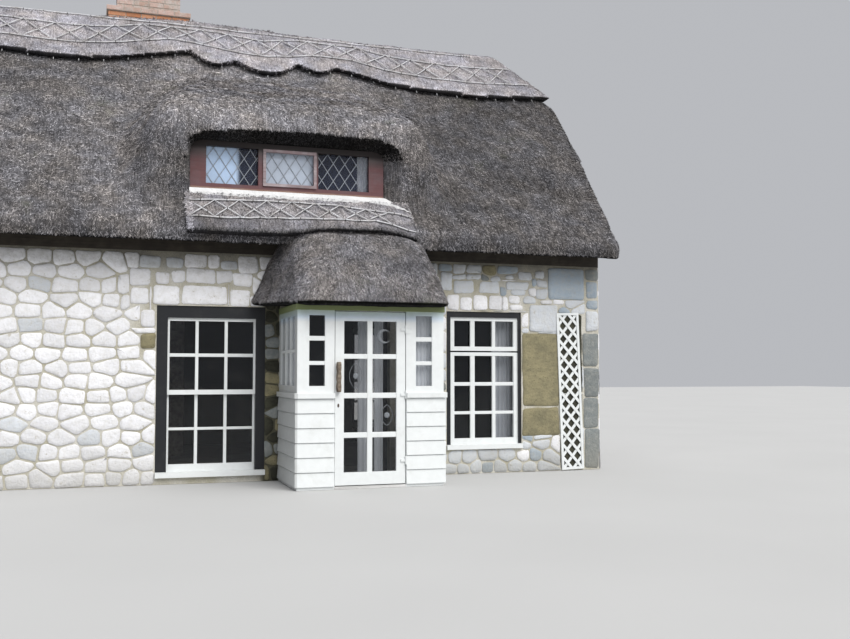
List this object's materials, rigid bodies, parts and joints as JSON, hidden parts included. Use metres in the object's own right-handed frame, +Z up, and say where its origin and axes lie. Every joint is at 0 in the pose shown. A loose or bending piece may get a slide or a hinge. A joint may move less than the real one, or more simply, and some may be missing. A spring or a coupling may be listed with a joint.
{
  "type": "thatched cottage",
  "caption": "Stone cottage with a thatched roof, an eyebrow dormer, a brick chimney, and a glazed timber porch under its own thatch whose door opens.",
  "frame": {"origin": "middle of the house's footprint, on the flat underside of the ground floor, level with the ground", "axes": "+X along the house to the right as the porch is faced, +Y from the porch side to the rear, +Z up"},
  "size_m": [9.77, 7.265, 8.34],
  "materials": {
    "white_stone": "matte",
    "thatch": "matte",
    "white_paint": "satin",
    "black_paint": "satin",
    "dark_timber": "matte",
    "red_frame": "satin",
    "grey_timber": "matte",
    "brick": "matte",
    "clay": "matte",
    "floor_stone": "matte",
    "handle_wood": "matte",
    "window_glass": "gloss"
  },
  "bodies": {
    "house": {"chimney_cap": "brick", "chimney_pot_left": "clay", "chimney_pot_right": "clay", "chimney_stack": "brick", "dormer_apron": "thatch", "dormer_casement": "grey_timber", "dormer_frame": "red_frame", "dormer_glass": "window_glass", "dormer_sill": "white_stone", "front_thatch": "thatch", "front_wall_left": "white_stone", "front_wall_over_door": "white_stone", "front_wall_plate": "dark_timber", "front_wall_right": "white_stone", "ground_floor": "floor_stone", "left_gable": "white_stone", "left_window_lower_glass": "window_glass", "left_window_lower_sash": "white_paint", "left_window_sill": "white_paint", "left_window_surround": "black_paint", "left_window_upper_glass": "window_glass", "left_window_upper_sash": "white_paint", "porch_ceiling": "white_paint", "porch_floor": "floor_stone", "porch_front_left": "white_paint", "porch_front_left_glass": "window_glass", "porch_front_right": "white_paint", "porch_front_right_glass": "window_glass", "porch_left_side": "white_paint", "porch_left_side_glass": "window_glass", "porch_right_side": "white_paint", "porch_right_side_glass": "window_glass", "porch_thatch": "thatch", "rear_thatch": "thatch", "rear_wall": "white_stone", "rear_wall_plate": "dark_timber", "rear_window_1": "white_paint", "rear_window_1_glass": "window_glass", "rear_window_2": "white_paint", "rear_window_2_glass": "window_glass", "ridge_cap": "thatch", "right_gable": "white_stone", "right_window_casement": "white_paint", "right_window_glass": "window_glass", "right_window_sill": "white_paint", "right_window_surround": "black_paint", "right_window_top_light": "white_paint", "trellis": "white_paint", "upper_floor": "dark_timber"},
    "door": {"porch_door": "white_paint", "porch_door_glass": "window_glass", "porch_door_handle": "handle_wood"}
  },
  "joints": [
    {"name": "porch_door_hinge", "type": "hinge", "parent": "house", "child": "door", "pos_m": [1.507, -3.833, 1.03], "axis": [0, 0, 1], "range_deg": [0, 95]}
  ]
}
